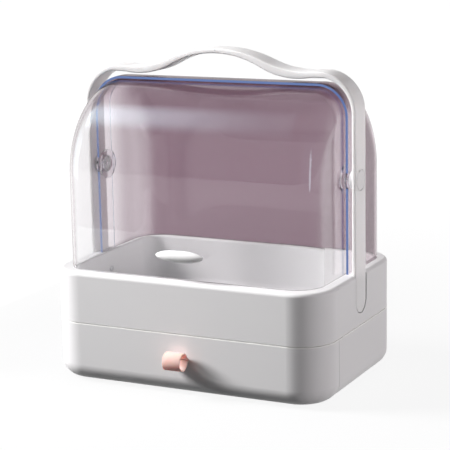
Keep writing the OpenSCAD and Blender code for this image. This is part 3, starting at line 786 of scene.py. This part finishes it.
def addSideParts(bm, settings):
    # round bosses on the insides of the posts, and the small marks that the mould leaves
    sides, edge = settings["sides"], settings["bossEdge"]
    far = settings["under"]["post"] + settings["bossSunk"]
    for side in (-1, 1):
        for radius, height in settings["bosses"]:
            near = settings["bossEnds"][radius]
            profile = [(0, near), (radius - edge, near), (radius, near + edge), (radius, far), (0, far)]
            lathe(bm, [(r, side * x) for r, x in profile], sides["boss"],
                  alongAxis("Y", (0, middle, height * mm)))
    radius, half = settings["pipRadius"], settings["width"] / 2
    tall, top, low = settings["pipHeight"], settings["pipTop"], half - settings["pipSunk"]
    profile = [(0, low), (radius, low), (radius, half + tall * top), (radius * top, half + tall),
               (0, half + tall)]
    for x, height in settings["pips"]:
        lathe(bm, profile, sides["pip"], alongAxis("X", (x * mm, middle, height * mm)))


arched = makeHandle(handle)
keepSharp(arched, degrees=40)
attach(arched, "case")
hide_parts("handle")
print("handle ready")


# Knob, in millimetres
knobLow, knobHigh = boxInMm("cover_knob")
middleInMm = round(middle / mm, 2)
knob = {
    "length": knobHigh[0] - knobLow[0],
    "thick": knobHigh[2] - knobLow[2],
    "height": (knobLow[2] + knobHigh[2]) / 2,
    "face": middleInMm - boxInMm("front_cover")[0][1],      # from the pivots to the cover's outer face
    "stand": 0.4,           # from there to the pebble
    "sides": 56,
    "steps": 44,
    "fullness": 2.5,        # more makes it thick for longer
    "blunt": 1.75,          # more makes its ends blunter
    "pegs": [(-4, 1.6), (1.9, 1.6), (2.2, 1.3)],    # how far behind the face, and radius
    "pegSides": 20,
}


def makeKnob(settings):
    # a pebble: thickest in the middle, with blunt round ends
    half, thin = settings["length"] / 2, settings["thick"] / 2
    face, height = settings["face"], settings["height"]
    around = [2 * math.pi * k / settings["sides"] for k in range(settings["sides"])]
    rings = []
    for i in range(1, settings["steps"]):
        angle = math.pi * i / settings["steps"]
        x = -half * math.cos(angle)
        size = thin * (1 - abs(x / half) ** settings["fullness"]) ** (1 / settings["blunt"])
        rings.append([(x * mm, (-face - thin - settings["stand"] + size * math.cos(t)) * mm + middle,
                       (height + size * math.sin(t)) * mm) for t in around])
    bm = bmesh.new()
    addRings(bm, rings)
    around = [2 * math.pi * k / settings["pegSides"] for k in range(settings["pegSides"])]
    for side in (-1, 1):    # the pegs that hold it to the cover
        turned = []
        for depth, radius in settings["pegs"]:
            turned.append([((side * half / 2 + radius * math.cos(t)) * mm, (-face + depth) * mm + middle,
                            (height + radius * math.sin(t)) * mm) for t in around])
        addRings(bm, turned)
    return finishMesh("pebble_knob", bm, knobWhite)


pebble = makeKnob(knob)
keepSharp(pebble, degrees=50)
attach(pebble, "front_lid")
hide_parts("cover_knob")
print("knob ready")


# Strap, in millimetres
strapLow, strapHigh = boxInMm("ribbon_pull")
drawerFace = boxInMm("drawer_front")[0][1]
strap = {
    "width": strapHigh[0] - strapLow[0],
    "thick": 1.2,
    "bend": (strapHigh[2] - strapLow[2]) / 2,       # outer radius of the loop
    "height": (strapLow[2] + strapHigh[2]) / 2,
    "out": drawerFace - strapLow[1],        # how far the loop stands out of the drawer's front
    "inside": strapHigh[1] - drawerFace,
    "frontFace": middleInMm - drawerFace,   # from the pivots to the drawer's front
    "meeting": 1,           # how far out of the front the loop's two straight runs would meet
    "neck": 2.0,            # radius of the bends into the slit
    "gap": 0.04,            # between the two layers
    "edge": 0.35,
    "steps": {"run": 4, "neck": 8, "loop": 48, "edge": 3},
}


def strapPath(settings):
    # middle line of the strap from its upper end, round the loop and back, as (out of the front, up)
    radius, steps = settings["bend"] - settings["thick"] / 2, settings["steps"]
    reach = settings["out"] - settings["bend"]
    tilt = math.acos((settings["bend"] - settings["thick"]) / (reach - settings["meeting"]))
    layer = settings["thick"] / 2 + settings["gap"] / 2
    knee = (radius - layer * math.sin(tilt)) / math.cos(tilt)       # where a run would meet its layer
    turn = math.pi / 2 - tilt
    cut = settings["neck"] * math.tan(turn / 2)
    upper = [(reach + settings["inside"] * (1 - k / steps["run"]), layer) for k in range(steps["run"])]
    for k in range(steps["neck"] + 1):
        angle = -math.pi / 2 - turn * k / steps["neck"]
        upper.append((knee + cut + settings["neck"] * math.cos(angle),
                      layer + settings["neck"] + settings["neck"] * math.sin(angle)))
    loop = []
    for k in range(steps["loop"] + 1):
        angle = tilt + (2 * math.pi - 2 * tilt) * k / steps["loop"]
        loop.append((radius * math.cos(angle), radius * math.sin(angle)))
    path = upper + loop + [(y, -z) for y, z in reversed(upper)]
    return [(-settings["frontFace"] - reach + y, settings["height"] + z) for y, z in path]


def makeStrap(settings):
    path = strapPath(settings)
    half, thin, edge = settings["width"] / 2, settings["thick"] / 2, settings["edge"]
    edgeSteps = settings["steps"]["edge"]
    section = []
    for sideX, sideT, start in ((1, 1, 0), (-1, 1, 90), (-1, -1, 180), (1, -1, 270)):
        for k in range(edgeSteps + 1):
            angle = math.radians(start + 90 * k / edgeSteps)
            section.append((sideX * (half - edge) + edge * math.cos(angle),
                            sideT * (thin - edge) + edge * math.sin(angle)))
    rings = []
    for i, (y, z) in enumerate(path):
        before, after = path[max(i - 1, 0)], path[min(i + 1, len(path) - 1)]
        along = Vector((after[0] - before[0], after[1] - before[1])).normalized()
        normal = Vector((-along.y, along.x))
        rings.append([(x * mm, (y + normal.x * t) * mm + middle, (z + normal.y * t) * mm)
                      for x, t in section])
    bm = bmesh.new()
    addRings(bm, rings)
    return finishMesh("strap_loop", bm, strapPink)


strapPiece = makeStrap(strap)
keepSharp(strapPiece, degrees=50)
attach(strapPiece, "drawer")
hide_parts("ribbon_pull")
print("strap ready")


# Screws and feet, placed by Geometry Nodes
def makePlacer(settings):
    # copies the template to every point of the host, turned so that its +Z follows the point's own direction
    tree = bpy.data.node_groups.new("placeCopies", "GeometryNodeTree")
    tree.interface.new_socket("Points", in_out="INPUT", socket_type="NodeSocketGeometry")
    tree.interface.new_socket("Template", in_out="INPUT", socket_type="NodeSocketObject")
    size = tree.interface.new_socket("Size", in_out="INPUT", socket_type="NodeSocketFloat")
    size.default_value = settings["size"]
    spread = tree.interface.new_socket("Turn Spread", in_out="INPUT", socket_type="NodeSocketFloat")
    spread.default_value = settings["turnSpread"]
    seed = tree.interface.new_socket("Seed", in_out="INPUT", socket_type="NodeSocketInt")
    seed.default_value = settings["seed"]
    tree.interface.new_socket("Finish", in_out="INPUT", socket_type="NodeSocketMaterial")
    tree.interface.new_socket("Copies", in_out="OUTPUT", socket_type="NodeSocketGeometry")
    given = tree.nodes.new("NodeGroupInput").outputs
    result = tree.nodes.new("NodeGroupOutput").inputs
    direction = addNode(tree, "GeometryNodeInputNamedAttribute", data_type="FLOAT_VECTOR", Name="direction")
    aligned = addNode(tree, "FunctionNodeAlignRotationToVector", {"Vector": direction.outputs[0]}, axis="Z")
    angle = addNode(tree, "FunctionNodeRandomValue", {"Max": given["Turn Spread"], "Seed": given["Seed"]},
                    data_type="FLOAT")
    twist = addNode(tree, "FunctionNodeAxisAngleToRotation", {"Angle": angle.outputs[1]}, Axis=(0, 0, 1))
    turned = addNode(tree, "FunctionNodeRotateRotation", {0: aligned.outputs[0], 1: twist.outputs[0]},
                     rotation_space="LOCAL")
    template = addNode(tree, "GeometryNodeObjectInfo", {"Object": given["Template"]})
    copies = addNode(tree, "GeometryNodeInstanceOnPoints", {
        "Points": given["Points"], "Instance": template.outputs["Geometry"], "Rotation": turned.outputs[0],
        "Scale": given["Size"]})
    real = addNode(tree, "GeometryNodeRealizeInstances", {0: copies.outputs[0]})
    painted = addNode(tree, "GeometryNodeSetMaterial",
                      {"Geometry": real.outputs[0], "Material": given["Finish"]})
    tree.links.new(painted.outputs[0], result["Copies"])
    return tree


placer = makePlacer({"size": 1, "turnSpread": 3.14159, "seed": 7})


def placeCopies(name, template, spots, material):
    # spots are (place, direction) pairs in millimetres
    mesh = bpy.data.meshes.new(name)
    mesh.from_pydata([Vector(place) * mm + Vector((0, middle, 0)) for place, facing in spots], [], [])
    directions = mesh.attributes.new("direction", "FLOAT_VECTOR", "POINT")
    for i, (place, facing) in enumerate(spots):
        directions.data[i].vector = facing
    piece = bpy.data.objects.new(name, mesh)
    bpy.context.collection.objects.link(piece)
    modifier = piece.modifiers.new("placeCopies", "NODES")
    modifier.node_group = placer
    chosen = {"Template": template, "Finish": material}
    for item in placer.interface.items_tree:
        if item.in_out == "INPUT" and item.name in chosen:
            modifier[item.identifier] = chosen[item.name]
    applyModifiers(piece)
    keepSharp(piece)
    return piece


screw = {                   # millimetres
    "headRadius": 3.0,
    "headHeight": 1.8,
    "headEdge": 0.12,
    "crownShare": 0.62,     # share of the head's radius where its flat crown ends
    "domeShare": 0.55,      # share of its height that is domed
    "domeSteps": 7,
    "shankRadius": 1.5,
    "plain": 0.9,           # length of the shank before the thread
    "threadPitch": 1.1,
    "valley": (0.3, 0.7),   # shares of the pitch between which the thread is at its core
    "coreRadius": 1.15,
    "unthreaded": 2,        # length at both ends together
    "tip": (0.5, 0.1),      # radius and length of its blunt end
    "sides": 28,
    "slotWidth": 0.7,
    "slotLength": 3.4,
    "slotDepth": 1.0,
    "slotAbove": 0.5,       # how far over the head the cut begins
    "slotFlare": (1.15, 0.7),   # how wide the cross slot is there and at its bottom
}


def makeScrew(name, length, settings):
    # head below z = 0 and shank above, as in the CAD
    radius, height = settings["headRadius"], settings["headHeight"]
    core, shank, pitch = settings["coreRadius"], settings["shankRadius"], settings["threadPitch"]
    crown, edge = settings["crownShare"], settings["headEdge"]
    begin, end = settings["valley"]
    tipRadius, tipLength = settings["tip"]
    profile = [(0, -height)]
    for k in range(1, settings["domeSteps"] + 1):
        angle = math.radians(90 * k / settings["domeSteps"])
        profile.append((radius * (crown + (1 - crown) * math.sin(angle)),
                        -height + height * settings["domeShare"] * (1 - math.cos(angle))))
    z = settings["plain"]
    profile += [(radius, -edge), (radius - edge, 0), (shank, 0), (shank, z)]
    # ring-shaped threads are enough at this size
    for k in range(int((length - settings["unthreaded"]) / pitch)):
        profile += [(core, z + begin * pitch), (core, z + end * pitch), (shank, z + pitch)]
        z += pitch
    profile += [(core, z + begin), (tipRadius, length - tipLength), (0, length)]
    bm = bmesh.new()
    lathe(bm, profile, settings["sides"])
    body = finishMesh(name, bm, zincSteel)
    bm = bmesh.new()
    wide, long = settings["slotWidth"] / 2, settings["slotLength"] / 2
    ends = (-height - settings["slotAbove"], -height + settings["slotDepth"])
    for turn in (0, 90):
        corners = []
        quarter = Matrix.Rotation(math.radians(turn), 3, "Z")
        for z, grow in zip(ends, settings["slotFlare"]):
            corners.append([quarter @ Vector((x * grow * mm, y * grow * mm, z * mm))
                            for x, y in ((-long, -wide), (long, -wide), (long, wide), (-long, wide))])
        addRings(bm, corners)
    combine(body, bm, "DIFFERENCE")
    return body


fasteners = {
    # length, and where each head's seat is, from the pivots, and which way its shank runs
    "handle": (11, [((s * 129, 0, z), (s, 0, 0)) for s in (-1, 1) for z in (81, 91)]),
    "case": (16, [((s * 100, 87, 52), (0, 0, 1)) for s in (-1, 1)]),
    "pivot": (10.5, [((s * 141.7, 0, 200), (-s, 0, 0)) for s in (-1, 1)]),
    "drawer": (9.1, [((s * 100, -86, z), (0, -1, 0)) for s in (-1, 1) for z in (22, 46)]),
}


def makeFasteners(group, body, node):
    length, spots = fasteners[group]
    template = makeScrew(group + "Template", length, screw)
    piece = placeCopies(group + "_fasteners", template, spots, zincSteel)
    bpy.data.objects.remove(template)
    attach(piece, body)
    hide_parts(node)


makeFasteners("handle", "case", "handle_screws")
makeFasteners("case", "case", "case_screws")
makeFasteners("pivot", "case", "pivot_screws")
makeFasteners("drawer", "drawer", "drawer_screws")

footLow, footHigh = boxInMm("foot_front_left")
foot = {
    "radius": (footHigh[0] - footLow[0]) / 2,
    "height": footHigh[2],
    "edge": 0.6,
    "edgeSteps": 5,
    "dish": 0.25,           # how far the middle stands clear of the table
    "dishShape": [(0, 1), (0.5, 0.8), (0.72, 0.08)],    # shares of the radius and of the dish
    "chamfer": 0.1,
    "sides": 48,
    "across": -(footLow[0] + footHigh[0]) / 2,
    "along": middleInMm - (footLow[1] + footHigh[1]) / 2,   # from the pivots to the front and to the back
}


def makeFeet(settings):
    radius, height, edge = settings["radius"], settings["height"], settings["edge"]
    chamfer = settings["chamfer"]
    profile = [(radius * out, settings["dish"] * up) for out, up in settings["dishShape"]]
    for k in range(settings["edgeSteps"] + 1):
        angle = math.radians(90 * k / settings["edgeSteps"])
        profile.append((radius - edge + edge * math.sin(angle), edge - edge * math.cos(angle)))
    profile += [(radius, height - chamfer), (radius - chamfer, height), (0, height)]
    bm = bmesh.new()
    lathe(bm, profile, settings["sides"])
    template = finishMesh("footTemplate", bm, softRubber)
    spots = [((x * settings["across"], y * settings["along"], 0), (0, 0, 1))
             for x in (-1, 1) for y in (-1, 1)]
    piece = placeCopies("soft_feet", template, spots, softRubber)
    bpy.data.objects.remove(template)
    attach(piece, "case")
    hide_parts("foot_front_left", "foot_front_right", "foot_rear_left", "foot_rear_right")


makeFeet(foot)
print("screws and feet ready")
